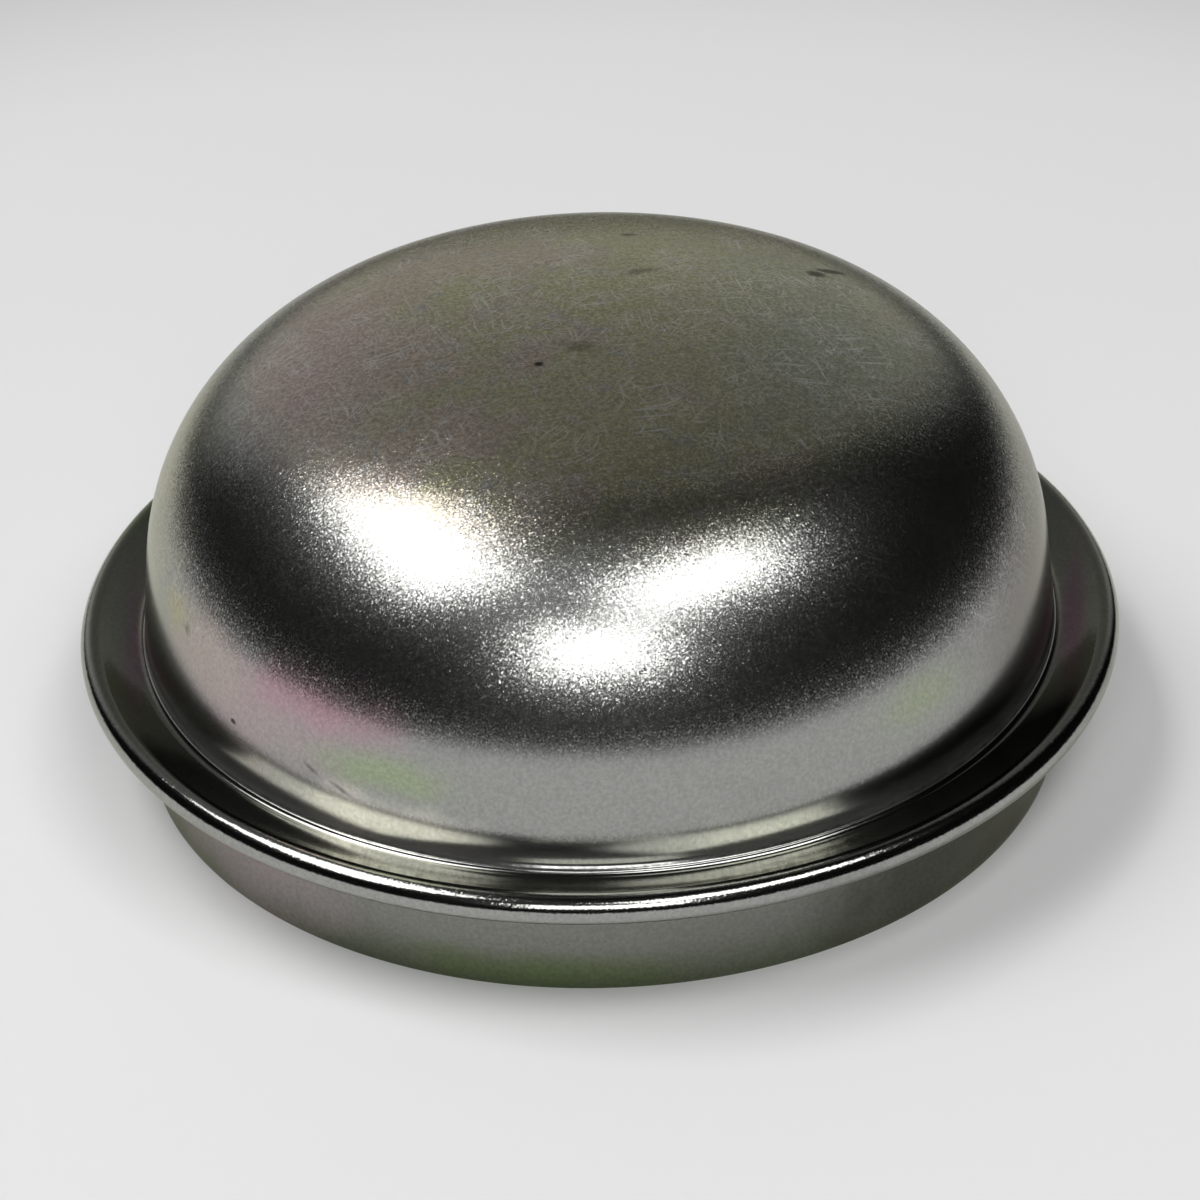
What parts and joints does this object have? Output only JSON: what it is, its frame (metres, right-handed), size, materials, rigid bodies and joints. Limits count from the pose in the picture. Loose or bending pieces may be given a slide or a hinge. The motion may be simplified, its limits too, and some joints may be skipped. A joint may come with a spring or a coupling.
{
  "type": "hub grease cap",
  "caption": "Domed sheet-steel cap with a dished, folded flange and a short press-fit skirt, closing the outer end of a wheel hub.",
  "frame": {"origin": "centre of the skirt's trimmed edge, which is the lowest plane of the cap", "axes": "+Z along the cap's axis, from the open skirt up to the middle of the domed crown"},
  "size_m": [0.0698, 0.0698, 0.0312],
  "materials": {
    "zinc_plated_steel": "bright zinc plate with a fine satin grain, faint pink and green passivate tints and light scuffs"
  },
  "bodies": {
    "root": {"grease_cap": "zinc_plated_steel"}
  },
  "joints": []
}
